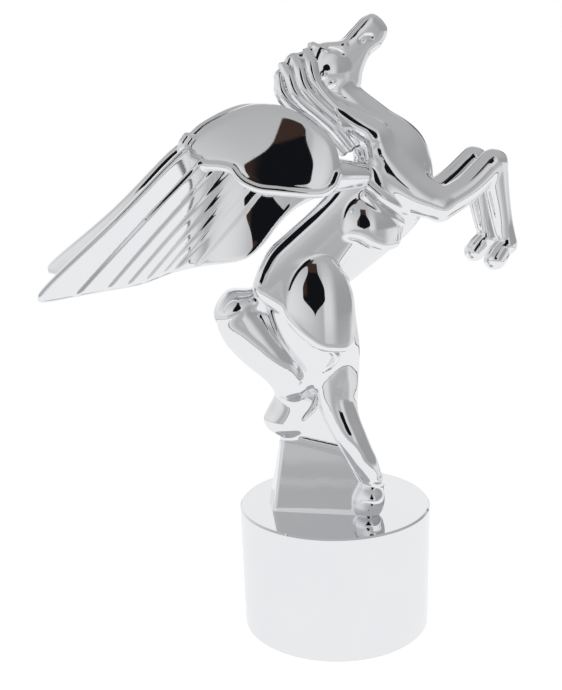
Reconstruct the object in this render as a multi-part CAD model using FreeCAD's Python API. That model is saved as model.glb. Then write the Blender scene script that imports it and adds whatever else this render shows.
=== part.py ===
"""A winged-horse hood ornament on a turned plinth.

The horse rears on its hind legs over a wedge-shaped support. Its wings are separate
castings, each with a square boss that plugs into the withers, and one rod ties the two
together. The horse stands on a round plinth and is drawn down by a stud, washers and a nut
in a pocket under it. A pad closes the pocket.

Frame: origin on the table at the plinth's centre, +Z up, +X the way the horse faces.
All sizes are in millimetres. Heights in the station lists are above the plinth's deck.
"""

import FreeCAD
import Part
import math
import os

V = FreeCAD.Vector
UP = V(0, 0, 1)

# Plinth
DECK_Z = 38.4            # height of the plinth's top face above the table
PLINTH_TOP_R = 28.5
PLINTH_FOOT_R = 28.0     # the turned side draws in a little towards the foot
PLINTH_LIFT = 0.4        # the pad holds the plinth this far off the table
EDGE_CHAMFER = 0.5
POCKET_R = 12.0
POCKET_ROOF_Z = 24.0     # the washers bear up against this face

# Pad
PAD_R = 25.0
PAD_T = 2.0
PAD_FIT = 0.1            # gap round the pad in its recess

# Hold-down fastening, M8
STUD_R = 3.97
STUD_BORE_R = 4.0
STUD_CLEAR_R = 4.4
STUD_GRIP = 13.0         # length of stud inside the horse's support
STUD_TAIL = 2.2          # length of stud past the nut
THREAD_PITCH = 1.25
THREAD_DEPTH = 0.5
WASHER_R = 8.0
WASHER_T = 1.6
SPRING_WASHER_R = 6.9
SPRING_WASHER_T = 2.0
SPRING_WASHER_SLIT = 1.0
NUT_FLATS = 13.0
NUT_T = 6.5
NUT_CHAMFER = 0.9
END_GAP = 0.5            # room left past the end of a stud, rod or dowel in a blind hole

# Dowel that stops the horse turning on the plinth
DOWEL_X = -13.0
DOWEL_R = 1.5
DOWEL_BORE_R = 1.53
DOWEL_HALF_L = 6.0

# Wing fastening
BOSS_X, BOSS_HEIGHT = 5.4, 98.6
BOSS_SIDE_X, BOSS_SIDE_Z = 5.0, 7.0
BOSS_INNER_Y, BOSS_OUTER_Y = 3.5, 9.5
BOSS_FIT = 0.05          # gap round the boss in its socket
ROD_R = 1.47
ROD_BORE_R = 1.5
ROD_HALF_L = 8.0

# Horse: each station is x, height, y, half-depth in profile, half-width across.
TRUNK = [
    (-14.0, 63.0, 0.0, 7.0, 8.5),
    (-9.0, 69.5, 0.0, 11.5, 12.5),
    (0.2, 75.8, 0.0, 11.3, 11.8),
    (9.0, 84.4, 0.0, 12.7, 13.0),
    (15.4, 94.0, 0.0, 14.1, 12.6),
    (16.8, 102.6, 0.0, 11.0, 9.6),
    (11.2, 111.0, 0.0, 7.1, 6.6),
    (4.6, 118.0, 0.0, 5.5, 5.2),
    (0.2, 123.6, 0.0, 5.2, 4.4),
]
HEAD = [
    (-2.6, 123.6, 0.0, 4.6, 3.4),
    (1.2, 127.0, 0.0, 7.2, 5.2),
    (6.3, 131.6, 0.0, 5.9, 4.4),
    (11.1, 135.8, 0.0, 4.8, 3.7),
    (12.8, 137.2, 0.0, 4.3, 3.4),
]
MANE = [
    (-2.8, 130.6, 0.0, 2.2, 2.2),
    (-7.8, 127.2, 0.0, 4.2, 3.4),
    (-9.8, 121.8, 0.0, 4.9, 3.8),
    (-6.6, 116.8, 0.0, 4.2, 3.4),
    (-0.6, 111.4, 0.0, 3.6, 3.0),
    (4.0, 105.6, 0.0, 3.0, 2.6),
]
DOCK = [
    (-13.5, 62.8, 0.0, 4.0, 4.0),
    (-20.0, 63.4, 0.0, 4.2, 4.4),
    (-27.0, 62.0, 0.0, 4.6, 4.6),
]
TAIL = [
    (-27.4, 60.4, 0.0, 6.8, 5.4),
    (-23.2, 53.6, 0.0, 8.9, 5.8),
    (-17.6, 46.8, 0.0, 8.3, 5.4),
    (-13.6, 40.2, 0.0, 7.2, 4.8),
    (-12.2, 33.0, 0.0, 6.6, 4.2),
    (-13.4, 25.4, 0.0, 8.0, 3.8),
]
UPPER_ARM = [
    (12.0, 105.0, 6.0, 6.6, 4.6),
    (17.0, 98.0, 8.5, 6.6, 5.2),
    (23.0, 92.4, 9.4, 5.8, 4.8),
    (29.6, 88.8, 9.4, 5.0, 4.2),
]
FOREARM = [
    (29.0, 88.2, 9.4, 4.5, 4.2),
    (37.3, 92.6, 9.0, 4.2, 3.7),
    (45.2, 99.2, 8.4, 3.9, 3.2),
]
FORE_CANNON = [
    (45.2, 99.8, 8.3, 3.7, 3.1),
    (46.7, 91.0, 8.2, 2.9, 2.7),
    (48.2, 83.0, 8.1, 2.5, 2.5),
    (49.6, 77.2, 8.0, 2.9, 2.8),
]
FORE_HOOF = [
    (49.8, 77.0, 8.0, 2.9, 2.8),
    (47.8, 74.2, 8.0, 3.3, 3.1),
    (46.6, 72.4, 8.0, 3.7, 3.4),
]
THIGH = [
    (-9.0, 73.5, 7.4, 9.6, 5.4),
    (-7.8, 65.0, 9.0, 12.3, 7.2),
    (-5.9, 57.5, 9.4, 11.6, 7.2),
    (-2.4, 48.6, 9.2, 8.8, 6.0),
    (-0.4, 40.4, 8.9, 6.4, 5.0),
    (0.0, 32.4, 8.6, 5.1, 4.2),
]
HIND_CANNON = [
    (0.0, 31.6, 8.6, 4.8, 4.0),
    (3.1, 23.6, 8.8, 4.2, 3.6),
    (6.8, 15.6, 9.1, 3.4, 3.1),
    (8.8, 10.6, 9.3, 2.9, 2.9),
]
HIND_HOOF = [
    (8.8, 10.8, 9.3, 2.8, 2.8),
    (8.6, 6.4, 9.4, 3.3, 3.3),
    (7.4, 0.0, 9.5, 4.3, 4.0),
]
# Joints where a limb turns too sharply for one loft: x, height, y, radius.
KNUCKLES = [
    (29.4, 88.5, 9.4, 4.9),
    (45.3, 99.7, 8.3, 4.1),
    (49.7, 76.6, 8.0, 3.3),
    (-0.1, 31.8, 8.6, 5.2),
]

# Support wedge between the hind legs: x and half-width at its back and its front.
WEDGE_BASE = [(-20.7, 3.6), (8.0, 11.2)]
WEDGE_CROWN = [(-15.0, 2.6), (2.0, 7.2)]
WEDGE_H = 23.0

# Wing arm under the covert: the same stations, y filled in from the wing's sweep.
WING_ARM = [
    (7.0, 98.6, 5.4, 3.4),
    (0.0, 99.6, 7.0, 4.8),
    (-7.0, 103.6, 9.9, 5.2),
    (-15.0, 106.0, 11.9, 5.0),
    (-23.0, 107.4, 10.0, 4.4),
    (-30.0, 107.4, 7.1, 3.6),
    (-36.0, 106.0, 4.4, 2.6),
]
# Feathers from the leading edge inwards: root x and height, tip x and height, half-depth.
FEATHERS = [
    (-38.4, 105.8, -77.4, 71.8, 2.9),
    (-34.0, 103.4, -71.2, 72.0, 3.1),
    (-30.0, 101.0, -64.0, 72.2, 3.2),
    (-26.0, 98.8, -57.0, 73.0, 3.3),
    (-22.0, 97.2, -50.4, 75.0, 3.6),
    (-18.0, 96.6, -42.8, 77.2, 4.2),
    (-12.0, 97.4, -33.6, 79.0, 5.2),
    (-5.5, 98.8, -23.6, 84.0, 4.9),
]
FEATHER_HALF_T = 1.8
FEATHER_TAPER = [(0.0, 0.9), (0.3, 1.0), (0.6, 1.0), (0.85, 0.9), (1.0, 0.7)]
WING_ROOT_Y = 9.2        # set of the wing's middle off the centre plane at its root
WING_FLARE = 15.0        # how much further out the tip stands
WING_LENGTH = 79.0

OVAL_POINTS = 12
DOME_ANGLES = (30.0, 55.0, 75.0)


def on_centre(x, height, y=0.0):
    """A point given by its height above the deck."""
    return V(x, y, DECK_Z + height)


def cylinder(radius, bottom, top, x=0.0):
    return Part.makeCylinder(radius, top - bottom, V(x, 0, bottom), UP)


def cross_cylinder(radius, x, height, half_length):
    return Part.makeCylinder(
        radius, 2 * half_length, on_centre(x, height, -half_length), V(0, 1, 0)
    )


def mirrored(shape):
    """The same shape on the horse's other side."""
    return shape.mirror(V(0, 0, 0), V(0, 1, 0))


def both_sides(shapes):
    return shapes + [mirrored(s) for s in shapes]


def oval(centre, along, half_depth, half_width, seam):
    """A smooth closed wire square to `along`: one axis in profile, the other across.

    The seam, in degrees round the oval from its back, is where the wire starts.
    """
    deep = V(-along.z, 0, along.x).normalize()
    wide = along.cross(deep).normalize()
    points = []
    for i in range(OVAL_POINTS):
        a = 2 * math.pi * i / OVAL_POINTS + math.radians(seam)
        points.append(centre + deep * half_depth * math.cos(a) + wide * half_width * math.sin(a))
    curve = Part.BSplineCurve()
    curve.interpolate(Points=points, PeriodicFlag=True)
    return Part.Wire([curve.toShape()])


def dome(station, along, side, seam):
    """Ovals that close a limb's end; side is -1 before the station and +1 past it."""
    x, height, y, half_depth, half_width = station
    reach = min(half_depth, half_width)
    rings = []
    for degrees in DOME_ANGLES:
        a = math.radians(degrees)
        centre = on_centre(x, height, y) + along * (side * reach * math.sin(a))
        shrink = math.cos(a)
        rings.append(oval(centre, along, half_depth * shrink, half_width * shrink, seam))
    return rings


def limb(stations, seam=0.0, round_start=True, round_end=True):
    """One solid lofted through a list of stations, its ends domed or cut square.

    Limbs that overlap end to end get seams a quarter turn apart, so that they fuse cleanly.
    """
    points = [on_centre(x, height, y) for x, height, y, _, _ in stations]
    last = len(points) - 1
    ways = []
    for i in range(last + 1):
        ways.append((points[min(i + 1, last)] - points[max(i - 1, 0)]).normalize())
    wires = [oval(p, w, s[3], s[4], seam) for p, w, s in zip(points, ways, stations)]
    if round_start:
        wires = dome(stations[0], ways[0], -1, seam)[::-1] + wires
    if round_end:
        wires = wires + dome(stations[-1], ways[-1], 1, seam)
    return Part.makeLoft(wires, True, False, False, 3)


def fused(shapes):
    return shapes[0].multiFuse(shapes[1:])


def wedge_ring(outline, height):
    (back_x, back_w), (front_x, front_w) = outline
    corners = [
        on_centre(back_x, height, -back_w),
        on_centre(front_x, height, -front_w),
        on_centre(front_x, height, front_w),
        on_centre(back_x, height, back_w),
    ]
    return Part.makePolygon(corners + corners[:1])


def make_wedge():
    rings = [wedge_ring(WEDGE_BASE, 0.0), wedge_ring(WEDGE_CROWN, WEDGE_H)]
    return Part.makeLoft(rings, True, True)


def make_socket():
    """The square hole across the withers that takes both wing bosses."""
    side_x = BOSS_SIDE_X + 2 * BOSS_FIT
    side_z = BOSS_SIDE_Z + 2 * BOSS_FIT
    reach = BOSS_OUTER_Y + 10.0
    corner = on_centre(BOSS_X - side_x / 2, BOSS_HEIGHT - side_z / 2, BOSS_INNER_Y)
    return Part.makeBox(side_x, reach - BOSS_INNER_Y, side_z, corner)


def make_horse_solid():
    """The horse, its tail and its support before any hole is made."""
    legs = [limb(s) for s in (UPPER_ARM, FORE_CANNON, THIGH)]
    legs += [limb(s, seam=90.0) for s in (FOREARM, FORE_HOOF, HIND_CANNON)]
    legs.append(limb(HIND_HOOF, round_end=False))
    joints = [Part.makeSphere(r, on_centre(x, height, y), V(0, 1, 0)) for x, height, y, r in KNUCKLES]
    middle = [limb(TRUNK), limb(HEAD, seam=90.0), limb(MANE), limb(DOCK, seam=90.0), limb(TAIL)]
    return fused(middle + [make_wedge()] + both_sides(legs + joints))


def make_horse(body):
    holes = both_sides([make_socket()])
    holes.append(cylinder(STUD_BORE_R, DECK_Z - 1, DECK_Z + STUD_GRIP + END_GAP))
    holes.append(cylinder(DOWEL_BORE_R, DECK_Z - 1, DECK_Z + DOWEL_HALF_L + END_GAP, DOWEL_X))
    holes.append(cross_cylinder(ROD_BORE_R, BOSS_X, BOSS_HEIGHT, BOSS_INNER_Y + 1))
    return body.cut(holes)


def wing_y(x):
    """How far the wing's middle stands off the centre plane, out towards the tip."""
    return WING_ROOT_Y + WING_FLARE * (max(-x, 0.0) / WING_LENGTH) ** 3


def make_feather(root_x, root_height, tip_x, tip_height, half_depth):
    stations = []
    for t, width in FEATHER_TAPER:
        x = root_x + t * (tip_x - root_x)
        height = root_height + t * (tip_height - root_height)
        stations.append((x, height, wing_y(x), width * half_depth, FEATHER_HALF_T))
    return limb(stations)


def make_boss():
    corner = on_centre(BOSS_X - BOSS_SIDE_X / 2, BOSS_HEIGHT - BOSS_SIDE_Z / 2, BOSS_INNER_Y)
    return Part.makeBox(BOSS_SIDE_X, BOSS_OUTER_Y - BOSS_INNER_Y, BOSS_SIDE_Z, corner)


def make_wing(body):
    """The left wing: feathers and arm trimmed to the flank, with the boss behind them."""
    arm = limb([(x, height, wing_y(x), a, b) for x, height, a, b in WING_ARM])
    plumage = fused([arm] + [make_feather(*f) for f in FEATHERS])
    trimmed = plumage.cut(body)
    seat = max(trimmed.Solids, key=lambda s: s.Volume)
    rod_hole = cross_cylinder(ROD_BORE_R, BOSS_X, BOSS_HEIGHT, ROD_HALF_L + END_GAP)
    return seat.fuse(make_boss()).cut(rod_hole)


def make_rod():
    return cross_cylinder(ROD_R, BOSS_X, BOSS_HEIGHT, ROD_HALF_L)


def make_plinth():
    profile = [
        V(STUD_CLEAR_R, 0, DECK_Z),
        V(PLINTH_TOP_R - EDGE_CHAMFER, 0, DECK_Z),
        V(PLINTH_TOP_R, 0, DECK_Z - EDGE_CHAMFER),
        V(PLINTH_FOOT_R, 0, PLINTH_LIFT + EDGE_CHAMFER),
        V(PLINTH_FOOT_R - EDGE_CHAMFER, 0, PLINTH_LIFT),
        V(PAD_R + PAD_FIT, 0, PLINTH_LIFT),
        V(PAD_R + PAD_FIT, 0, PAD_T),
        V(POCKET_R, 0, PAD_T),
        V(POCKET_R, 0, POCKET_ROOF_Z),
        V(STUD_CLEAR_R, 0, POCKET_ROOF_Z),
    ]
    face = Part.Face(Part.makePolygon(profile + profile[:1]))
    turned = face.revolve(V(0, 0, 0), UP, 360)
    dowel_hole = cylinder(DOWEL_BORE_R, DECK_Z - DOWEL_HALF_L - END_GAP, DECK_Z + 1, DOWEL_X)
    return turned.cut(dowel_hole)


def make_pad():
    return cylinder(PAD_R, 0.0, PAD_T)


def make_dowel():
    pin = cylinder(DOWEL_R, DECK_Z - DOWEL_HALF_L, DECK_Z + DOWEL_HALF_L, DOWEL_X)
    return pin.makeChamfer(0.3, [e for e in pin.Edges if len(e.Vertexes) == 1])


def stack_heights():
    """Undersides of the washer, the spring washer and the nut, and the stud's lower end."""
    washer = POCKET_ROOF_Z - WASHER_T
    spring = washer - SPRING_WASHER_T
    nut = spring - NUT_T
    return washer, spring, nut, nut - STUD_TAIL


def make_stud():
    """Threaded at both ends, shown as rings of thread, plain where it crosses the plinth."""
    _, spring, _, low = stack_heights()
    high = DECK_Z + STUD_GRIP
    core_r = STUD_R - THREAD_DEPTH
    pieces = [cylinder(core_r, low, high)]
    pieces.append(cylinder(STUD_R, POCKET_ROOF_Z, DECK_Z))
    for start, end in ((low, spring), (DECK_Z, high)):
        count = int((end - start) / THREAD_PITCH)
        for i in range(count):
            z = start + i * THREAD_PITCH
            rise = Part.makeCone(core_r, STUD_R, THREAD_PITCH / 2, V(0, 0, z), UP)
            fall = Part.makeCone(STUD_R, core_r, THREAD_PITCH / 2, V(0, 0, z + THREAD_PITCH / 2), UP)
            pieces.extend([rise, fall])
    return fused(pieces).removeSplitter()


def make_flat_washer():
    washer, _, _, _ = stack_heights()
    return cylinder(WASHER_R, washer, POCKET_ROOF_Z).cut(
        cylinder(STUD_CLEAR_R, washer - 1, POCKET_ROOF_Z + 1)
    )


def make_spring_washer():
    washer, spring, _, _ = stack_heights()
    ring = cylinder(SPRING_WASHER_R, spring, washer).cut(
        cylinder(STUD_CLEAR_R, spring - 1, washer + 1)
    )
    slit = Part.makeBox(
        WASHER_R, SPRING_WASHER_SLIT, 3 * SPRING_WASHER_T,
        V(0, -SPRING_WASHER_SLIT / 2, spring - SPRING_WASHER_T),
    )
    return ring.cut(slit)


def make_nut():
    _, spring, nut, _ = stack_heights()
    corner_r = NUT_FLATS / math.sqrt(3)
    corners = []
    for i in range(6):
        a = math.radians(60 * i)
        corners.append(V(corner_r * math.cos(a), corner_r * math.sin(a), nut))
    prism = Part.Face(Part.makePolygon(corners + corners[:1])).extrude(UP * NUT_T)
    crown_r = NUT_FLATS / 2
    crown = Part.makeCone(crown_r, crown_r + 4 * NUT_CHAMFER, 2 * NUT_CHAMFER, V(0, 0, nut), UP)
    body = crown.fuse(cylinder(corner_r + 1, nut + NUT_CHAMFER, spring))
    return prism.common(body).cut(cylinder(STUD_BORE_R, nut - 1, spring + 1))


def single(shape, name):
    """Check that a piece came out as one closed solid and return it."""
    if len(shape.Solids) != 1 or not shape.isValid():
        raise ValueError(name + " is not one clean solid")
    return shape.Solids[0]


def main():
    os.makedirs("parts", exist_ok=True)
    body = make_horse_solid()
    wing = make_wing(body)
    pieces = {
        "plinth": make_plinth(),
        "foot_pad": make_pad(),
        "horse_casting": make_horse(body),
        "wing_left": wing,
        "wing_right": mirrored(wing),
        "wing_tie_rod": make_rod(),
        "mounting_stud": make_stud(),
        "flat_washer": make_flat_washer(),
        "spring_washer": make_spring_washer(),
        "hex_nut": make_nut(),
        "locating_dowel": make_dowel(),
    }
    for name, shape in pieces.items():
        single(shape, name).exportStep("parts/" + name + ".step")


if __name__ == "__main__":
    main()
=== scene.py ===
"""The looks of the winged-horse ornament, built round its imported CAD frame.

The horse and its two wings are sculpted here as solid clay: each muscle, lock of mane and
feather is a distance field, the fields are blended, and a net is drawn over the result. The
plinth, the pad and the fasteners keep their CAD shape and get their materials here.

The clay is measured in the design's millimetres: x forwards, y to the horse's left, and h,
the height above the plinth's deck. `place` turns those into metres in the frame.
"""

import math

import bpy
import numpy as np
from mathutils import Matrix, Vector


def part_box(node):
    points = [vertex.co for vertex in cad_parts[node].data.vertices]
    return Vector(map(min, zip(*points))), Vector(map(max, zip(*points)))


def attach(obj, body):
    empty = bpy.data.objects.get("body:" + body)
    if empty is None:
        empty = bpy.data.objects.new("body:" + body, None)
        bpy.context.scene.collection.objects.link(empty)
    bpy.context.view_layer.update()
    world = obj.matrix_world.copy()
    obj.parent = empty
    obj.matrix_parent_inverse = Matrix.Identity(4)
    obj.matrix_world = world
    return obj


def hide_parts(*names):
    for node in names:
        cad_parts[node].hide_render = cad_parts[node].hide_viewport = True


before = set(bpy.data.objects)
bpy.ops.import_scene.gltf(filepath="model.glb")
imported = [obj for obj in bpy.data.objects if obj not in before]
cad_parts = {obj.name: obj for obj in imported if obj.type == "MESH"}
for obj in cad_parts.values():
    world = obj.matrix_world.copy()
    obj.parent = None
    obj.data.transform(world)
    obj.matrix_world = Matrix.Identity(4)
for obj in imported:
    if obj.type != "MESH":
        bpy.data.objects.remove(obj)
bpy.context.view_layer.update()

# ---------------------------------------------------------------- measures from the frame

DESIGN_HORSE_H = 142.0          # the design height of the horse above the deck
plinth_low, plinth_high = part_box("plinth")
horse_low, horse_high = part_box("horse_casting")
MM = (horse_high.z - horse_low.z) / DESIGN_HORSE_H
AXIS = Vector(((plinth_low.x + plinth_high.x) / 2, (plinth_low.y + plinth_high.y) / 2, horse_low.z))

FAR = 30.0                      # a field's value well outside every form
REACH = 3.0                     # how far past its box a form is still worked out
STATION_GAP = 0.6               # spacing of the stations along a limb
COARSE = 3                      # every third station is tried first in the search for the nearest
SEARCH_STEPS = 4                # Newton steps from there to the nearest point of the limb
EDGE_FALL = 0.06                # how fast a plate's face falls away within its bevel
BLOCK = 4                       # grid cells along one side of a sampling block
SETTLE_ROUNDS = 2               # rounds of evening out the net and settling it on the surface
STEP = 0.42
WING_STEP = 0.36


def place(points):
    """Clay millimetres to metres in the frame."""
    return np.asarray(points) * MM + np.array(AXIS)


# ---------------------------------------------------------------- clay

def smooth_min(a, b, blend):
    h = np.maximum(blend - np.abs(a - b), 0.0) / blend
    return np.minimum(a, b) - h * h * h * blend / 6.0


def smooth_max(a, b, blend):
    return -smooth_min(-a, -b, blend)


def form(field, low, high, blend, cut=False):
    """A distance field, the box it fills, its blend radius, and whether it is carved away."""
    pad = REACH + blend
    return {"field": field, "low": np.array(low) - pad, "high": np.array(high) + pad,
            "blend": blend, "cut": cut}


def clay(forms, points, mirror=True):
    """The blended field of all the forms. A mirrored piece is the same on both sides of y = 0."""
    p = np.array(points, float)
    if mirror:
        p[:, 1] = np.abs(p[:, 1])
    value = np.full(len(p), FAR)
    for f in forms:
        near = np.nonzero(np.all((p > f["low"]) & (p < f["high"]), axis=1))[0]
        if not len(near):
            continue
        d = f["field"](p[near])
        if f["cut"]:
            value[near] = -smooth_min(-value[near], d, f["blend"])
        else:
            value[near] = smooth_min(value[near], d, f["blend"])
    return value


def bends(rows, steps):
    """Smooth stretches (Catmull-Rom) from the second row to the last but one."""
    t = np.linspace(0, 1, steps, endpoint=False)[:, None]
    fine = []
    for a, b, c, d in zip(rows, rows[1:], rows[2:], rows[3:]):
        cubic = t * (3 * (b - c) + d - a)
        fine.append(b + 0.5 * t * (c - a + t * (2 * a - 5 * b + 4 * c - d + cubic)))
    return np.vstack(fine)


def spline(rows):
    """A smooth curve through rows of numbers, evenly spaced in x, h, y, and its spacing."""
    rows = np.array(rows, float)
    ends = np.vstack([2 * rows[0] - rows[1], rows, 2 * rows[-1] - rows[-2]])
    fine = np.vstack([bends(ends, 16), rows[-1:]])
    run = np.concatenate([[0], np.cumsum(np.linalg.norm(np.diff(fine[:, :3], axis=0), axis=1))])
    count = max(4, int(run[-1] / STATION_GAP) + 1)
    even = np.linspace(0, run[-1], count)
    table = np.column_stack([np.interp(even, run, column) for column in fine.T])
    return table, run[-1] / (count - 1)


def dots(rows, directions):
    """How far each row reaches along its direction."""
    return np.einsum("ij,ij->i", rows, directions)


def oval_distance(a, b, c, ra, rb, rc):
    """Roughly the distance to an ellipsoid, right at its surface."""
    k0 = np.sqrt((a / ra) ** 2 + (b / rb) ** 2 + (c / rc) ** 2)
    k1 = np.sqrt((a / ra ** 2) ** 2 + (b / rb ** 2) ** 2 + (c / rc ** 2) ** 2)
    return np.where(k1 > 1e-9, k0 * (k0 - 1.0) / np.maximum(k1, 1e-9), -np.minimum(ra, rb))


def limb(stations, blend=2.0, cut=False, lean=0.0):
    """A tube of oval section through stations of x, h, y, depth in profile, width across.

    With `lean` the section's upper side is pushed in, so that its outer face looks upwards.
    """
    rows, gap = spline(stations)
    centre = rows[:, [0, 2, 1]]
    depth, width = rows[:, 3], rows[:, 4]
    way = np.gradient(centre, axis=0)
    way /= np.linalg.norm(way, axis=1)[:, None]
    bend = np.gradient(way, axis=0)
    last = len(rows) - 1
    sparse = np.arange(0, last + 1, COARSE)

    def pick(table, s):
        i = np.minimum(s.astype(int), last - 1)
        f = s - i
        if table.ndim > 1:
            f = f[:, None]
        return table[i] * (1 - f) + table[i + 1] * f

    def field(p):
        spread = np.sum(centre[sparse] ** 2, axis=1)[None, :] - 2 * p @ centre[sparse].T
        s = sparse[np.argmin(spread, axis=1)].astype(float)
        for _ in range(SEARCH_STEPS):
            rel = p - pick(centre, s)
            off = dots(rel, pick(way, s))
            rate = gap - dots(rel, pick(bend, s))
            s = np.clip(s + off / np.maximum(rate, 0.4 * gap), 0, last)
        t = pick(way, s)
        rel = p - pick(centre, s)
        flat = np.sqrt(t[:, 0] ** 2 + t[:, 2] ** 2)
        deep = np.column_stack([-t[:, 2] / flat, np.zeros(len(p)), t[:, 0] / flat])
        wide = np.cross(t, deep)
        a = dots(rel, deep)
        b = dots(rel, wide) - lean * a
        c = dots(rel, t)
        ra, rb = pick(depth, s), pick(width, s)
        return oval_distance(a, b, c, ra, rb, np.minimum(ra, rb))

    size = np.maximum(depth, width)[:, None] * (1 + abs(lean))
    return form(field, (centre - size).min(0), (centre + size).max(0), blend, cut)


def blob(x, h, y, rx, rh, ry, tilt=0.0, blend=2.0, cut=False):
    """An ellipsoid, tilted in profile by `tilt` degrees nose up."""
    c, s = math.cos(math.radians(tilt)), math.sin(math.radians(tilt))

    def field(p):
        dx, dh = p[:, 0] - x, p[:, 2] - h
        return oval_distance(c * dx + s * dh, c * dh - s * dx, p[:, 1] - y, rx, rh, ry)

    half = np.array([math.hypot(c * rx, s * rh), ry, math.hypot(s * rx, c * rh)])
    middle = np.array([x, y, h])
    return form(field, middle - half, middle + half, blend, cut)


def smooth_step(v):
    """0 to 1 with level ends, for v from 0 to 1."""
    v = np.clip(v, 0, 1)
    return v * v * (3 - 2 * v)


def outline_distance(points, outline):
    """Signed distance in profile from points to a closed outline, negative inside."""
    best = np.full(len(points), FAR * FAR)
    inside = np.zeros(len(points), bool)
    px, ph = points[:, 0], points[:, 1]
    for (ax, ah), (bx, bh) in zip(outline, np.roll(outline, -1, axis=0)):
        ex, eh = bx - ax, bh - ah
        t = np.clip(((px - ax) * ex + (ph - ah) * eh) / (ex * ex + eh * eh), 0, 1)
        best = np.minimum(best, (px - ax - t * ex) ** 2 + (ph - ah - t * eh) ** 2)
        span = (ah > ph) != (bh > ph)
        if eh:
            inside ^= span & (px < ax + (ph - ah) * ex / eh)
    return np.sqrt(best) * np.where(inside, -1, 1)


def closed_curve(corners):
    """A smooth closed outline through points of x, h."""
    rows = np.array(corners, float)
    return bends(np.vstack([rows[-1:], rows, rows[:2]]), 6)


def plate(outline, face, back, rounding=3.0, blend=1.0, bevel=0.0):
    """A domed plate: an outline in profile, an outer face y = face(x, h), an inner face y = back.

    The face falls away a little within `bevel` of its edge.
    """
    ring = closed_curve(outline)

    def field(p):
        x, y, h = p.T
        edge = outline_distance(p[:, [0, 2]], ring)
        fall = np.clip(edge + bevel, 0, 2 * bevel)
        top = face(x, h) - EDGE_FALL * fall ** 2
        deep = np.maximum((y - top) * 0.93, back - y)
        return smooth_max(deep, edge, rounding)

    top = face(ring[:, 0], ring[:, 1]).max() + 6.0
    low = [ring[:, 0].min(), back, ring[:, 1].min()]
    return form(field, low, [ring[:, 0].max(), top, ring[:, 1].max()], blend)


def skin(forms, path):
    """The y of the clay's outer face at each x, h of a path."""
    ys = np.arange(0.0, 26.0, 0.1)
    found = []
    for x, h in path:
        line = np.column_stack([np.full_like(ys, x), ys, np.full_like(ys, h)])
        inside = np.nonzero(clay(forms, line) < 0)[0]
        found.append(ys[inside[-1]] if len(inside) else 0.0)
    return found


def crease(forms, path, radius=0.8, depth=0.5, blend=0.8):
    """A groove pressed into the outer face along a path of x, h."""
    ys = skin(forms, path)
    stations = [(x, h, y + radius - depth, radius, radius) for (x, h), y in zip(path, ys)]
    return limb(stations, blend, cut=True)


# ---------------------------------------------------------------- net over the clay

def sample_field(field, low, high, step):
    """Values on a grid, worked out in full only in blocks near the surface."""
    side = BLOCK * step
    blocks = np.ceil((np.array(high) - low) / side).astype(int)
    index = np.indices(blocks).reshape(3, -1).T
    middle = low + (index * BLOCK + (BLOCK - 1) / 2) * step
    rough = field(middle)
    values = np.empty((blocks[0], BLOCK, blocks[1], BLOCK, blocks[2], BLOCK), np.float32)
    values[:] = (np.sign(rough) * FAR).reshape(blocks)[:, None, :, None, :, None]
    near = np.nonzero(np.abs(rough) < 2.0 * side)[0]
    inner = np.indices((BLOCK, BLOCK, BLOCK)).reshape(3, -1).T
    corner = index[near] * BLOCK
    points = low + (corner[:, None, :] + inner[None, :, :]) * step
    fine = field(points.reshape(-1, 3)).reshape(len(near), BLOCK, BLOCK, BLOCK)
    bx, by, bz = index[near].T
    values[bx, :, by, :, bz, :] = fine
    return values.reshape(blocks * BLOCK)


def surface_net(values, low, step):
    """One point in each grid cell that the surface crosses, joined by quads."""
    inside = values < 0
    shape = np.array(values.shape) - 1
    corners = [(i, j, k) for i in (0, 1) for j in (0, 1) for k in (0, 1)]
    count = np.zeros(shape, np.int8)
    for i, j, k in corners:
        count += inside[i:i + shape[0], j:j + shape[1], k:k + shape[2]]
    cells = np.argwhere((count > 0) & (count < 8))
    number = np.full(shape, -1, np.int64)
    number[tuple(cells.T)] = np.arange(len(cells))
    at = {c: values[cells[:, 0] + c[0], cells[:, 1] + c[1], cells[:, 2] + c[2]] for c in corners}
    total = np.zeros((len(cells), 3))
    hits = np.zeros(len(cells))
    for c in corners:
        for axis in range(3):
            if c[axis]:
                continue
            d = tuple(c[n] + (n == axis) for n in range(3))
            a, b = at[c], at[d]
            cross = (a < 0) != (b < 0)
            t = np.where(cross, a / np.where(cross, a - b, 1.0), 0.0)
            spot = np.array(c, float) + np.outer(t, np.eye(3)[axis])
            total += spot * cross[:, None]
            hits += cross
    verts = low + (cells + total / hits[:, None]) * step
    quads = []
    rings = {0: ((0, -1, -1), (0, 0, -1), (0, 0, 0), (0, -1, 0)),
             1: ((-1, 0, -1), (-1, 0, 0), (0, 0, 0), (0, 0, -1)),
             2: ((-1, -1, 0), (0, -1, 0), (0, 0, 0), (-1, 0, 0))}
    for axis, ring in rings.items():
        ahead = np.roll(inside, -1, axis)
        cut = [slice(1, -1)] * 3
        edge = np.argwhere((inside != ahead)[tuple(cut)]) + 1
        quad = np.column_stack([number[tuple((edge + r).T)] for r in ring])
        outward = inside[tuple(edge.T)]
        quad[~outward] = quad[~outward][:, ::-1]
        quads.append(quad)
    return verts, np.vstack(quads)


def slope(field, points, reach=0.04):
    """The field's gradient, from four samples round each point."""
    total = np.zeros((len(points), 3))
    for corner in ((1, -1, -1), (-1, -1, 1), (-1, 1, -1), (1, 1, 1)):
        total += np.outer(field(points + reach * np.array(corner)), corner)
    return total / (4 * reach)


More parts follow.
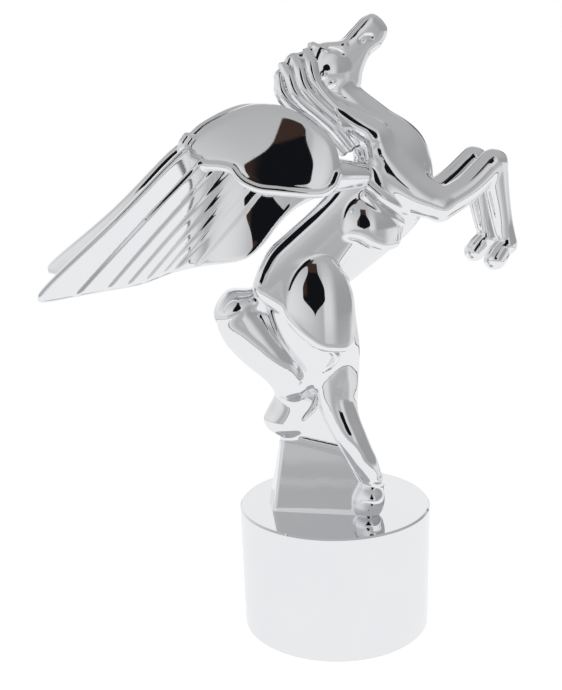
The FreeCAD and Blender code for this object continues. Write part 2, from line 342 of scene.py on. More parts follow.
def relax(verts, quads):
    """Each point moved to the middle of its neighbours."""
    a = np.concatenate([quads[:, i] for i in range(4)])
    b = np.concatenate([quads[:, (i + 1) % 4] for i in range(4)])
    weight = np.bincount(a, minlength=len(verts)) + np.bincount(b, minlength=len(verts))
    total = np.column_stack([
        np.bincount(a, verts[b, n], len(verts)) + np.bincount(b, verts[a, n], len(verts))
        for n in range(3)
    ])
    return total / np.maximum(weight, 1)[:, None]


def cast(name, field, low, high, step, replaced):
    """Draws a net over a field, settles it onto the surface and makes it a Blender piece."""
    low, high = np.array(low, float), np.array(high, float)
    verts, quads = surface_net(sample_field(field, low, high, step), low, step)
    for _ in range(SETTLE_ROUNDS):
        verts = 0.5 * verts + 0.5 * relax(verts, quads)
        for _ in range(SETTLE_ROUNDS):
            g = slope(field, verts)
            size = np.maximum(dots(g, g), 0.05)
            move = field(verts)[:, None] * g / size[:, None]
            length = np.linalg.norm(move, axis=1)[:, None]
            verts = verts - move * np.minimum(1.0, 0.5 * step / np.maximum(length, 1e-9))
    g = slope(field, verts)
    normals = g / np.maximum(np.linalg.norm(g, axis=1), 1e-9)[:, None]
    mesh = bpy.data.meshes.new(name)
    mesh.from_pydata(place(verts).tolist(), [], quads.tolist())
    mesh.validate()
    mesh.polygons.foreach_set("use_smooth", np.ones(len(mesh.polygons), bool))
    mesh.normals_split_custom_set_from_vertices(normals.tolist())
    piece = bpy.data.objects.new(name, mesh)
    bpy.context.scene.collection.objects.link(piece)
    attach(piece, "root")
    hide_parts(replaced)
    return piece


# ---------------------------------------------------------------- the horse

def body_forms():
    trunk = limb([
        (-13.0, 63.0, 0, 7.0, 8.0), (-8.6, 69.0, 0, 8.6, 8.4), (0.4, 75.6, 0, 9.4, 9.0),
        (8.4, 84.8, 0, 12.2, 10.2), (15.6, 94.2, 0, 13.6, 10.8), (17.4, 102.8, 0, 10.9, 9.0),
        (11.5, 111.2, 0, 7.0, 6.0), (4.8, 118.2, 0, 5.4, 4.6), (0.4, 123.6, 0, 5.2, 4.0),
    ], 3.0)
    folds = [
        limb([(9.0, 95.4, 9.0, 1.3, 1.6), (13.6, 91.4, 10.0, 1.5, 1.7),
              (19.6, 87.8, 9.0, 1.0, 1.2)], 0.9),
        limb([(7.6, 92.8, 10.2, 1.2, 1.6), (12.0, 88.4, 10.8, 1.4, 1.6),
              (18.2, 84.8, 9.4, 0.9, 1.0)], 0.9),
    ]
    flank = plate(FLANK_OUTLINE, flank_face, 0.0, 1.4, 1.6, bevel=3.0)
    return [trunk, flank, plate(RIB_OUTLINE, rib_face, 4.0, 4.0, 1.2)] + folds


FLANK_OUTLINE = [
    (-23.6, 69.0), (-22.6, 72.8), (-21.4, 75.4), (-18.8, 79.4), (-14.0, 83.5), (-8.9, 87.6),
    (-6.3, 89.8), (-1.4, 94.6), (2.4, 100.4), (7.4, 101.6), (12.6, 96.0), (13.0, 88.0),
    (6.0, 80.0), (0.0, 72.0), (-6.0, 62.0), (-14.0, 60.6), (-21.6, 65.2),
]


def flank_face(x, h):
    across = x - 0.8 * (h - 84.0) - 1.0
    return 10.8 - 0.05 * (x + 2.0) - 0.02 * (h - 84.0) - across ** 2 / 400.0


RIB_OUTLINE = [
    (0.4, 81.6), (5.0, 80.6), (9.0, 78.4), (13.0, 77.4), (17.6, 78.6), (19.0, 83.2), (17.6, 88.4),
    (14.0, 91.6), (9.0, 94.2), (4.0, 95.6), (1.0, 92.0), (0.6, 86.0),
]


def rib_face(x, h):
    rise = np.maximum(h - 83.5, 0)
    return 13.9 - 0.05 * (h - 80.0) - 0.034 * rise ** 2 - (x - 9.0) ** 2 / 22.0


def neck_forms():
    return [
        limb([(-4.6, 120.6, 2.0, 2.6, 2.8), (0.6, 116.4, 2.6, 3.3, 3.8),
              (6.0, 112.2, 3.4, 4.4, 5.0), (11.6, 108.8, 4.4, 4.6, 5.2)], 1.2),
    ]


def head_forms():
    cheek = blob(0.6, 125.6, 2.4, 5.0, 4.6, 2.5, 35, 1.6)
    skull = [plate(HEAD_OUTLINE, head_face, -0.5, 3.2, 1.4), cheek]
    marks = [
        blob(-2.2, 125.0, 4.1, 1.5, 1.0, 1.0, 40, 0.6),
        blob(0.1, 122.8, 3.9, 1.5, 0.9, 1.0, 30, 0.6),
        limb([(-4.4, 133.0, 1.6, 1.0, 1.0), (-3.0, 132.2, 3.2, 0.9, 1.0),
              (-1.2, 131.6, 3.9, 0.7, 0.8)], 0.6),
        blob(3.8, 132.9, 3.2, 1.2, 1.0, 1.0, 30, 0.6),
        crease(skull, [(-0.3, 131.8), (1.4, 131.5), (3.0, 130.6)], 0.7, 0.3, 0.5),
        crease(skull, [(8.4, 134.0), (9.6, 134.9), (11.2, 134.9)], 0.8, 0.25, 0.6),
    ]
    return skull + marks


HEAD_OUTLINE = [
    (-4.8, 131.4), (-2.4, 133.6), (3.4, 134.3), (7.0, 137.4), (10.4, 140.6), (12.8, 140.9),
    (15.6, 138.5), (16.4, 136.0), (14.6, 132.6), (11.2, 129.8), (9.4, 125.8), (8.2, 121.4),
    (2.0, 119.4), (-3.4, 121.4), (-5.6, 126.0),
]


def head_face(x, h):
    across = x - 2.0 - 1.2 * (h - 128.0)
    return 4.5 - 0.085 * (x + 1.0) + 0.02 * (h - 128.0) - across ** 2 / 500.0


MANE_CREST = [
    (-4.1, 133.6), (-7.2, 131.6), (-11.1, 130.6), (-12.8, 128.0), (-15.1, 125.6), (-14.3, 122.6),
    (-14.8, 120.0), (-12.0, 116.9), (-8.0, 114.6), (-2.4, 110.0), (2.6, 104.2),
]
MANE_ROOT = [
    (-2.6, 131.2), (-4.2, 128.2), (-5.0, 124.6), (-4.2, 120.8), (-1.2, 117.0), (3.0, 112.4),
    (7.6, 106.6),
]
LOCKS = [                       # each lock of the mane, from its tip at the crest to the withers
    [(-13.8, 125.2, 1.2, 0.9, 1.0), (-13.2, 121.0, 1.6, 1.7, 1.8), (-10.6, 117.4, 2.0, 1.8, 2.0),
     (-6.0, 114.0, 2.6, 1.8, 2.0), (-1.2, 109.8, 3.0, 1.7, 1.9), (3.0, 104.6, 3.2, 1.4, 1.6)],
    [(-12.8, 128.0, 1.2, 0.9, 1.0), (-11.2, 124.6, 2.4, 1.7, 1.8), (-10.0, 120.8, 3.0, 1.8, 2.0),
     (-7.4, 117.8, 3.4, 1.8, 2.0), (-3.4, 114.4, 3.8, 1.8, 2.0), (1.0, 110.2, 4.2, 1.7, 1.9),
     (4.6, 105.6, 4.2, 1.4, 1.6)],
    [(-9.8, 130.2, 1.2, 1.0, 1.1), (-8.6, 126.8, 3.0, 1.8, 1.9), (-7.6, 122.4, 3.8, 1.9, 2.0),
     (-5.0, 118.8, 4.2, 1.9, 2.0), (-1.2, 115.2, 4.6, 1.8, 2.0), (3.0, 111.2, 5.0, 1.7, 1.8),
     (6.2, 106.8, 5.0, 1.3, 1.5)],
    [(-6.0, 131.4, 1.4, 1.0, 1.1), (-5.7, 128.4, 3.6, 1.7, 1.8), (-4.9, 124.0, 4.4, 1.7, 1.8),
     (-2.4, 120.0, 4.8, 1.6, 1.7), (1.2, 116.2, 5.2, 1.4, 1.5), (4.8, 112.6, 5.4, 1.1, 1.2)],
]


def mane_face(x, h):
    return 2.6 + 0.10 * (x + 8.0)


def mane_forms():
    bed = plate(MANE_CREST + MANE_ROOT[::-1], mane_face, -1.0, 1.6, 0.6)
    return [bed] + [limb(lock, 0.5) for lock in LOCKS]


def foreleg_forms():
    return [
        limb([(12.8, 106.8, 5.0, 5.0, 4.8), (14.4, 102.4, 5.6, 5.8, 4.8),
              (17.6, 97.8, 6.6, 6.2, 4.7), (22.8, 92.8, 8.0, 5.9, 4.5),
              (29.6, 89.6, 8.8, 4.9, 4.1)], 2.0, lean=0.15),
        limb([(28.8, 88.9, 9.0, 4.4, 4.0), (37.3, 93.6, 8.6, 4.1, 3.6),
              (45.0, 100.6, 8.2, 3.9, 3.2)], 1.2),
        limb([(45.2, 100.6, 8.2, 3.7, 3.0), (46.7, 91.6, 8.1, 3.0, 2.6),
              (48.2, 83.6, 8.0, 2.7, 2.4), (49.4, 78.0, 8.0, 2.8, 2.6)], 1.2),
        limb([(43.8, 93.2, 7.8, 1.4, 1.5), (45.2, 86.6, 7.8, 1.2, 1.5),
              (46.8, 80.2, 7.8, 1.0, 1.3)], 0.5),
        blob(49.4, 77.0, 8.0, 2.9, 2.9, 2.9, 0, 0.8),
        limb([(48.8, 77.2, 8.0, 2.6, 2.6), (47.0, 74.8, 8.2, 3.1, 3.0),
              (45.8, 73.2, 8.4, 3.1, 3.2)], 0.5),
    ]


HAUNCH_OUTLINE = [
    (-17.9, 68.0), (-17.6, 72.4), (-15.0, 76.2), (-10.2, 78.4), (-4.6, 78.0), (-0.4, 74.6),
    (2.6, 68.6), (3.8, 60.4), (3.6, 53.6), (1.2, 50.6), (-2.9, 50.6), (-6.8, 51.4), (-10.7, 54.1),
    (-14.5, 57.9), (-17.2, 62.6),
]


def haunch_face(x, h):
    rise = np.maximum(h - 58.0, 0)
    return 16.9 - 0.115 * (h - 52.0) - 0.00040 * rise ** 3 - (x + 4.0) ** 2 / 38.0


def hind_leg_forms():
    return [
        limb([(-9.0, 73.5, 5.4, 9.4, 5.0), (-7.6, 65.0, 6.4, 12.0, 6.4),
              (-5.7, 57.5, 7.2, 11.4, 6.8), (-2.2, 48.6, 6.6, 9.1, 5.0),
              (-0.2, 41.6, 6.2, 6.8, 4.0), (0.1, 32.4, 7.4, 5.2, 4.0)], 2.5),
        plate(HAUNCH_OUTLINE, haunch_face, 3.0, 3.0, 0.5),
        limb([(-0.6, 47.0, 5.8, 5.4, 4.8), (-0.4, 43.0, 6.3, 5.5, 4.8),
              (-0.2, 38.0, 7.0, 5.6, 4.6), (-0.1, 33.4, 7.8, 5.2, 4.4), (1.2, 28.2, 9.2, 4.8, 4.3),
              (3.1, 23.6, 10.7, 4.4, 4.1), (5.2, 19.0, 11.6, 4.0, 3.8),
              (6.9, 15.6, 12.1, 3.7, 3.6), (9.0, 10.6, 12.3, 3.0, 3.2)], 1.6),
        limb([(9.0, 11.4, 12.1, 2.9, 3.2), (8.8, 10.4, 12.2, 3.3, 3.5),
              (8.6, 9.6, 12.3, 3.0, 3.2)], 0.9),
        limb([(8.4, 8.6, 12.3, 3.5, 3.4), (7.6, 5.4, 12.6, 4.3, 3.8),
              (7.3, 3.6, 12.8, 4.3, 3.8)], 0.6),
        blob(8.1, 6.0, 13.6, 3.6, 4.0, 3.7, 10, 1.4),
        limb([(-6.8, 51.6, 10.8, 0.7, 0.9), (-3.6, 50.8, 11.4, 0.9, 1.1),
              (-1.3, 48.6, 11.4, 1.0, 1.2), (-2.6, 46.2, 10.8, 0.9, 1.1),
              (-4.6, 44.4, 9.6, 0.7, 0.8)], 0.9),
    ]


def tail_forms():
    return [
        limb([(-13.0, 64.6, 1.0, 3.8, 4.4), (-20.6, 63.9, 1.0, 4.2, 4.8),
              (-26.8, 62.2, 1.0, 5.4, 5.4)], 3.0),
        limb([(-27.3, 61.0, 1.0, 7.0, 5.6), (-24.5, 56.6, 1.2, 8.3, 6.2),
              (-20.4, 51.2, 1.4, 8.0, 6.6), (-16.0, 45.6, 1.6, 6.9, 6.6),
              (-12.3, 39.6, 1.4, 5.8, 5.8)], 2.0, lean=0.1),
        limb([(-12.6, 41.0, 0.6, 5.6, 4.6), (-11.4, 34.0, 0, 6.2, 4.8),
              (-13.8, 26.6, 0, 7.3, 4.6)], 2.5),
        limb([(-8.0, 38.0, 0, 4.0, 3.4), (-5.0, 30.0, 0, 5.4, 4.4),
              (-2.0, 21.0, 0, 7.0, 5.2)], 2.5),
        blob(-7.4, 42.0, 2.6, 4.2, 5.4, 5.0, 0, 3.0),
    ]


WEB_OUTLINE = [
    (-16.5, 20.5), (-12.0, 26.5), (-7.0, 32.0), (-4.4, 37.0), (-1.0, 38.0), (2.0, 31.0),
    (4.6, 22.0), (4.0, 17.0), (-5.0, 16.0), (-14.0, 17.0),
]


def wedge_half(x, h):
    return 4.4 + (x + 19.2) * 0.37 - 0.165 * h


def wedge_top(x):
    return 23.8 - 0.20 * (x + 15.0)


def web_face(x, h):
    return wedge_half(x, wedge_top(x)) + 0.15 * (h - wedge_top(x)) - 0.2


def wedge_forms():
    """The support between the hooves: its faces lean in and it narrows towards the tail."""
    def field(p):
        x, y, h = p.T
        rise = np.clip(h, -4, 30)
        back = -19.6 + 0.17 * rise
        front = 9.0 - 0.25 * rise
        sides = (y - wedge_half(x, rise)) * 0.96
        ends = np.maximum(back - x, x - front) * 0.97
        return smooth_max(smooth_max(sides, ends, 1.4), h - wedge_top(x), 1.0)
    web = plate(WEB_OUTLINE, web_face, 0.0, 2.0, 1.2)
    return [web, form(field, (-22, 0, -4), (10, 15, 27), 1.2)]


def horse_forms():
    forms = body_forms() + neck_forms() + foreleg_forms() + hind_leg_forms() + tail_forms()
    return forms + wedge_forms() + head_forms() + mane_forms()


BACK_WAY = (0.64, 0.77)         # the line of the croup in profile, and a point on it
BACK_AT = (-14.0, 83.5)


def slimmer_back(p):
    """The croup draws in towards its far side; clay there is looked up further out."""
    dx, dh = p[:, 0] - BACK_AT[0], p[:, 2] - BACK_AT[1]
    along = BACK_WAY[0] * dx + BACK_WAY[1] * dh
    out = BACK_WAY[0] * dh - BACK_WAY[1] * dx
    deep = smooth_step((out + 12.0) / 9.0)
    ends = smooth_step((24.0 - np.abs(along)) / 9.0)
    amount = 0.24 * np.maximum(p[:, 1] + 8.0, 0) * deep * ends
    moved = p.copy()
    moved[:, 0] -= BACK_WAY[1] * amount
    moved[:, 2] += BACK_WAY[0] * amount
    return moved


def make_horse():
    forms = horse_forms()

    def field(p):
        return np.maximum(clay(forms, slimmer_back(p)), -p[:, 2])

    return cast("horse", field, (-37, -19, -1.5), (57, 19, 144), STEP, "horse_casting")


# ---------------------------------------------------------------- the wings

def fan_face(x, h):
    """The outer face of the wing: swelling near the root, hollow halfway, flaring at the tip."""
    u = x + 38.0
    tip = 11.9 + 0.006056 * u ** 2 - 4.82e-5 * u ** 3
    root = 18.4 - (x + 6.8) ** 2 / 106.0
    w = smooth_step((x + 40.0) / 14.0)
    middle_h = 88.0 + 0.2 * (x + 50.0)
    return tip * (1 - w) + root * w + 0.12 * (1 - w) * (h - middle_h)


def panel_flare(x, h):
    """The broad last panel turns outwards towards its trailing edge."""
    w = smooth_step((x + 46.0) / 22.0)
    drop = 94.0 - h
    low = np.maximum(drop, 0)
    return w * (0.10 * drop + 0.010 * low ** 2 - 0.144 * np.tanh((x + 18.0) / 12.0) * drop)


def covert_face(x, h):
    across = x + 6.5
    bow = 24.0 ** 2 / 45.0 * (np.sqrt(1 + (across / 24.0) ** 2) - 1)
    past = -22.0 - x
    rise = h - 95.5 - 0.21 * (past + np.sqrt(past ** 2 + 36.0))
    twist = 0.006 * (x + 12.0) * (h - 100.0) / np.sqrt(1 + ((x + 12.0) / 20.0) ** 2)
    return 20.6 - bow - 0.105 * rise - 0.0073 * rise * np.abs(rise) + twist


FEATHER_LINES = [               # root and tip of each line between feathers, x and h
    ((-44.0, 108.2), (-81.4, 73.2)),
    ((-38.4, 103.2), (-72.4, 70.8)),
    ((-34.6, 101.6), (-65.1, 70.5)),
    ((-31.4, 100.2), (-59.5, 71.2)),
    ((-29.6, 98.6), (-54.8, 71.6)),
    ((-27.8, 97.2), (-50.2, 72.8)),
    ((-26.0, 96.0), (-46.0, 74.8)),
    ((-23.2, 95.0), (-37.5, 79.0)),
    ((-13.0, 95.0), (-25.5, 78.0)),
]
FAN_OUTLINE = [
    (-42.2, 106.8), (-60.4, 90.0), (-77.9, 75.5), (-80.6, 71.8), (-78.0, 70.4), (-65.1, 70.8),
    (-54.8, 71.5), (-46.0, 74.0), (-38.4, 75.7), (-28.4, 77.8), (-22.6, 81.3), (-17.2, 87.3),
    (-12.4, 91.2), (-7.2, 93.6), (-3.4, 95.6), (-4.0, 98.4), (-12.0, 99.2), (-22.0, 100.0),
    (-30.0, 103.4), (-38.4, 105.4),
]
COVERT_OUTLINE = [
    (-1.2, 104.5), (-2.8, 108.8), (-7.3, 112.8), (-13.5, 116.8), (-19.9, 118.2), (-26.3, 117.2),
    (-35.2, 113.0), (-40.2, 108.4), (-40.8, 106.6), (-39.2, 104.4), (-36.0, 102.6), (-32.1, 102.2),
    (-28.9, 101.4), (-27.6, 99.6), (-26.0, 97.9), (-22.4, 96.2), (-17.9, 95.6), (-14.0, 95.1),
    (-9.4, 94.6), (-5.8, 94.8), (-3.0, 96.6), (-1.0, 100.2),
]
CORD = [
    (-38.8, 109.4), (-40.2, 107.4), (-39.8, 105.6), (-38.2, 104.0), (-36.0, 102.8), (-32.1, 102.4),
    (-29.2, 101.6), (-27.8, 99.8), (-26.0, 98.1), (-22.4, 96.5), (-17.9, 95.9), (-14.0, 95.4),
    (-9.4, 94.9), (-5.8, 95.1), (-3.2, 96.8), (-1.8, 99.6),
]


RISER = 1.3                     # width of the step from one feather up to the next
WIDEST = 6.5                    # a feather wider than this rises no higher


def feather_relief(x, h):
    """The feathers lie like shingles: each rises at its upper line and falls away to the next."""
    relief = np.zeros(len(x))
    sides = []
    for (ax, ah), (bx, bh) in FEATHER_LINES:
        length = math.hypot(bx - ax, bh - ah)
        sides.append(((h - ah) * (bx - ax) - (x - ax) * (bh - ah)) / length)
    root = np.exp(-(np.maximum(103.0 + 0.35 * (x + 30.0) - h, 0) / 6.0) ** 2)
    for left, right in zip(sides, sides[1:]):
        wide = np.maximum(left - right, 0.5)
        fall = 1 - np.clip(left / wide, 0, 1)
        rise = smooth_step(left / np.minimum(RISER, 0.5 * wide))
        relief += 0.075 * np.minimum(wide, WIDEST) * rise * fall
    return relief * (1 + 0.5 * root)


def wing_field():
    fan = closed_curve(FAN_OUTLINE)

    def feathers(p):
        x, y, h = p.T
        middle = fan_face(x, h) + panel_flare(x, h)
        relief = feather_relief(x, h)
        outer = y - middle - relief
        inner = middle - 3.6 - y - 0.5 * relief
        edge = outline_distance(p[:, [0, 2]], fan)
        return smooth_max(np.maximum(outer, inner) * 0.85, edge, 1.8)

    def cord(path, radius, sink):
        path = np.array(path)
        ys = covert_face(path[:, 0], path[:, 1]) - sink
        return limb([(x, h, y, radius, radius) for (x, h), y in zip(path, ys)], 0.7)

    forms = [
        form(feathers, (-81, 5, 69), (0, 27, 112), 0.8),
        plate(COVERT_OUTLINE, covert_face, 7.5, 3.0, 0.8),
        cord(CORD, 1.3, 1.0),
        limb([(-6.0, 99.0, 13.5, 5.0, 4.0), (1.0, 98.6, 11.0, 4.2, 4.2),
              (6.0, 98.2, 8.0, 3.6, 4.2)], 2.0),
    ]
    return lambda p: clay(forms, p, mirror=False)


def make_wings():
    """The left wing, and the right one as its mirror image."""
    field = wing_field()
    flip = np.array([1, -1, 1])

    def flipped(p):
        return field(p * flip)

    left = cast("wing_left_cast", field, (-83, 3, 67), (11, 28, 121), WING_STEP, "wing_left")
    right = cast("wing_right_cast", flipped, (-83, -28, 67), (11, -3, 121), WING_STEP, "wing_right")
    return left, right


# ---------------------------------------------------------------- materials

def grey(v):
    return (v, v, v, 1)


def new_material(name):
    material = bpy.data.materials.new(name)
    material.use_nodes = True
    nodes = material.node_tree.nodes
    return material, nodes, material.node_tree.links, nodes["Principled BSDF"]


def texture(nodes, links, kind, scale, stretch=(1, 1, 1), **settings):
    """A procedural texture in the piece's own coordinates, stretched along its axes."""
    coord = nodes.new("ShaderNodeTexCoord")
    mapping = nodes.new("ShaderNodeMapping")
    mapping.inputs["Scale"].default_value = stretch
    links.new(coord.outputs["Object"], mapping.inputs["Vector"])
    made = nodes.new(kind)
    links.new(mapping.outputs["Vector"], made.inputs["Vector"])
    made.inputs["Scale"].default_value = scale
    for name, value in settings.items():
        made.inputs[name].default_value = value
    return made


def ramp(nodes, links, value, stops):
    """A colour ramp over a value: stops of position and colour."""
    made = nodes.new("ShaderNodeValToRGB")
    elements = made.color_ramp.elements
    while len(elements) < len(stops):
        elements.new(0.5)
    for element, (position, colour) in zip(elements, stops):
        element.position = position
        element.color = colour
    links.new(value, made.inputs["Fac"])
    return made.outputs["Color"]


def bumps(nodes, links, shader, layers):
    """Stacks bump layers of texture output, strength and depth in metres."""
    normal = None
    for height, strength, depth in layers:
        bump = nodes.new("ShaderNodeBump")
        bump.inputs["Strength"].default_value = strength
        bump.inputs["Distance"].default_value = depth
        links.new(height, bump.inputs["Height"])
        if normal:
            links.new(normal, bump.inputs["Normal"])
        normal = bump.outputs["Normal"]
    links.new(normal, shader.inputs["Normal"])


def blended(nodes, links, kind, factor, a, b):
    """Two colours mixed by a named blend."""
    node = nodes.new("ShaderNodeMix")
    node.data_type = "RGBA"
    node.blend_type = kind
    colours = [i for i in node.inputs if i.type == "RGBA"]
    for socket, value in zip([node.inputs["Factor"]] + colours, (factor, a, b)):
        if isinstance(value, (int, float, tuple)):
            socket.default_value = value
        else:
            links.new(value, socket)
    return [o for o in node.outputs if o.type == "RGBA"][0]


def chrome():
    """Mirror plate: faint haze where it has been handled, hairline scratches, and painted shade
    darkening the base colour in crevices.
    """
    material, nodes, links, shader = new_material("chrome_plate")
    haze = texture(nodes, links, "ShaderNodeTexNoise", 26.0, Detail=5.0, Roughness=0.55)
    wipes = texture(nodes, links, "ShaderNodeTexNoise", 300.0, (1.0, 0.5, 9.0), Detail=3.0)
    scratches = texture(nodes, links, "ShaderNodeTexNoise", 900.0, (0.05, 1.0, 1.6), Detail=2.0)
    cast_skin = texture(nodes, links, "ShaderNodeTexNoise", 70.0, Detail=1.0)
    metal = ramp(nodes, links, haze.outputs["Fac"], [
        (0.30, (0.845, 0.852, 0.872, 1)), (0.55, (0.865, 0.870, 0.884, 1)),
        (0.75, (0.850, 0.858, 0.880, 1))])
    # Painted shade: the base colour is darkened where the surface is hollow (low pointiness),
    # standing in for the shade that falls in crevices.
    geometry = nodes.new("ShaderNodeNewGeometry")
    crevice_painted_shade = ramp(nodes, links, geometry.outputs["Pointiness"], [
        (0.40, (0.60, 0.585, 0.57, 1)), (0.475, (1, 1, 1, 1))])
    links.new(blended(nodes, links, "MULTIPLY", 1.0, metal, crevice_painted_shade), shader.inputs["Base Color"])
    shader.inputs["Metallic"].default_value = 1.0
    dull = ramp(nodes, links, haze.outputs["Fac"], [(0.46, grey(0.018)), (0.62, grey(0.045)),
                                                    (0.78, grey(0.085))])
    hairs = ramp(nodes, links, scratches.outputs["Fac"], [(0.66, grey(0.0)), (0.74, grey(0.05))])
    links.new(blended(nodes, links, "ADD", 1.0, dull, hairs), shader.inputs["Roughness"])
    bumps(nodes, links, shader, [(cast_skin.outputs["Fac"], 0.05, 0.0004),
                                 (wipes.outputs["Fac"], 0.02, 0.00004),
                                 (scratches.outputs["Fac"], 0.03, 0.00002)])
    return material


def zinc():
    """Bright zinc plate over turned steel: fine rings, grey bloom, worn edges a little lighter, and
    painted shade darkening the base colour in hollows.
    """
    material, nodes, links, shader = new_material("zinc_steel")
    bloom = texture(nodes, links, "ShaderNodeTexNoise", 180.0, Detail=6.0, Roughness=0.6)
    spangle = texture(nodes, links, "ShaderNodeTexVoronoi", 420.0)
    rings = texture(nodes, links, "ShaderNodeTexNoise", 600.0, (0.04, 0.04, 3.0), Detail=2.0)
    body = ramp(nodes, links, bloom.outputs["Fac"], [
        (0.30, (0.44, 0.45, 0.45, 1)), (0.52, (0.62, 0.62, 0.60, 1)),
        (0.72, (0.70, 0.69, 0.64, 1))])
    # Painted shade: the base colour is darkened in hollows (low pointiness), where shade falls;
    # convex edges stay a little lighter than flat faces, as worn plate.
    geometry = nodes.new("ShaderNodeNewGeometry")
    worn_edges_and_shade = ramp(nodes, links, geometry.outputs["Pointiness"], [
        (0.44, (0.62, 0.62, 0.62, 1)), (0.50, (0.92, 0.92, 0.92, 1)), (0.56, (1, 1, 1, 1))])
    links.new(blended(nodes, links, "MULTIPLY", 1.0, body, worn_edges_and_shade), shader.inputs["Base Color"])
    shader.inputs["Metallic"].default_value = 1.0
    links.new(ramp(nodes, links, bloom.outputs["Fac"], [(0.35, grey(0.24)), (0.70, grey(0.42))]),
              shader.inputs["Roughness"])
    bumps(nodes, links, shader, [(rings.outputs["Fac"], 0.25, 0.00008),
                                 (spangle.outputs["Distance"], 0.10, 0.00005)])
    return material


def felt():
    """Dense black felt: matted fibres, a soft nap and a little lint."""
    material, nodes, links, shader = new_material("felt")
    matting = texture(nodes, links, "ShaderNodeTexNoise", 260.0, Detail=8.0, Roughness=0.7)
    fibres = texture(nodes, links, "ShaderNodeTexNoise", 900.0, (1.0, 0.15, 1.0), Detail=4.0)
    lint = texture(nodes, links, "ShaderNodeTexVoronoi", 700.0, Randomness=1.0)
    wool = ramp(nodes, links, matting.outputs["Fac"], [
        (0.30, (0.026, 0.026, 0.029, 1)), (0.55, (0.050, 0.050, 0.055, 1)),
        (0.75, (0.082, 0.082, 0.088, 1))])
    specks = ramp(nodes, links, lint.outputs["Distance"], [(0.03, grey(0.20)), (0.08, grey(0.0))])
    links.new(blended(nodes, links, "ADD", 0.5, wool, specks), shader.inputs["Base Color"])
    links.new(ramp(nodes, links, fibres.outputs["Fac"], [(0.30, grey(0.86)), (0.70, grey(1.0))]),
              shader.inputs["Roughness"])
    shader.inputs["Sheen Weight"].default_value = 0.35
    bumps(nodes, links, shader, [(matting.outputs["Fac"], 0.7, 0.0004),
                                 (fibres.outputs["Fac"], 0.5, 0.0002)])
    return material


# ---------------------------------------------------------------- light, floor and camera

# The camera stands at the viewer's place beside the horse, in the clay's millimetres.
CAMERA_AT = (-60.97, -289.44, 119.66)
CAMERA_LOOKS_AT = (-14.75, 2.34, 49.43)
CAMERA_LENS = 54.44
CAMERA_ROLL = -1.53


def make_camera():
    data = bpy.data.cameras.new("camera")
    data.lens = CAMERA_LENS
    data.sensor_width = 36.0
    data.clip_start = 0.01
    camera = bpy.data.objects.new("camera", data)
    bpy.context.scene.collection.objects.link(camera)
    eye, target = Vector(place(CAMERA_AT)), Vector(place(CAMERA_LOOKS_AT))
    turn = (target - eye).to_track_quat("-Z", "Y").to_matrix().to_4x4()
    camera.matrix_world = Matrix.Translation(eye) @ turn @ Matrix.Rotation(
        math.radians(CAMERA_ROLL), 4, "Z")
    bpy.context.scene.camera = camera


TABLE_R = 0.36                  # metres; its dark edge shows in the chrome
TABLE_SIDES = 96


def make_floor():
    """A pale round table top, a little brighter to the camera than in the chrome."""
    turns = [2 * math.pi * i / TABLE_SIDES for i in range(TABLE_SIDES)]
    ring = [(TABLE_R * math.cos(turn), TABLE_R * math.sin(turn), 0) for turn in turns]
    mesh = bpy.data.meshes.new("floor")
    mesh.from_pydata(ring, [], [tuple(range(TABLE_SIDES))])
    floor = bpy.data.objects.new("floor", mesh)
    bpy.context.scene.collection.objects.link(floor)
    material, nodes, links, shader = new_material("floor")
    shader.inputs["Base Color"].default_value = (0.9, 0.9, 0.9, 1)
    shader.inputs["Roughness"].default_value = 1.0
    shader.inputs["Specular IOR Level"].default_value = 0.0
    shader.inputs["Emission Color"].default_value = (1, 1, 1, 1)
    shader.inputs["Emission Strength"].default_value = 0.62
    mirrored_look = nodes.new("ShaderNodeEmission")
    spot = nodes.new("ShaderNodeTexCoord")
    reach = nodes.new("ShaderNodeVectorMath")
    reach.operation = "LENGTH"
    links.new(spot.outputs["Object"], reach.inputs[0])
    rim = nodes.new("ShaderNodeValToRGB")
    rim.color_ramp.elements[0].position = TABLE_R - 0.035
    rim.color_ramp.elements[0].color = (0.95, 0.95, 0.955, 1)
    rim.color_ramp.elements[1].position = TABLE_R - 0.020
    rim.color_ramp.elements[1].color = (0.22, 0.22, 0.23, 1)
    links.new(reach.outputs["Value"], rim.inputs["Fac"])
    links.new(rim.outputs["Color"], mirrored_look.inputs["Color"])
    light = nodes.new("ShaderNodeLightPath")
    choice = nodes.new("ShaderNodeMixShader")
    links.new(light.outputs["Is Glossy Ray"], choice.inputs["Fac"])
    links.new(shader.outputs[0], choice.inputs[1])
    links.new(mirrored_look.outputs[0], choice.inputs[2])
    links.new(choice.outputs[0], nodes["Material Output"].inputs["Surface"])
    mesh.materials.append(material)


# The tent's parts. Azimuths are in radians from the camera, to its right; heights are sines.
CEILING = 0.48
BACK_WALL = 0.93
OPENING_HALF = 0.31             # half the width of the opening the camera looks through
ROOM_DARK = (0.006, 0.007, 0.009, 1)
TRIM_BROWN = (0.045, 0.026, 0.020, 1)
BACK_GAPS = ((2.62, 0.10, 0.52), (-2.62, 0.36, 0.66))   # azimuth, lowest and highest
BACK_GAP_GREY = (0.17, 0.175, 0.19, 1)


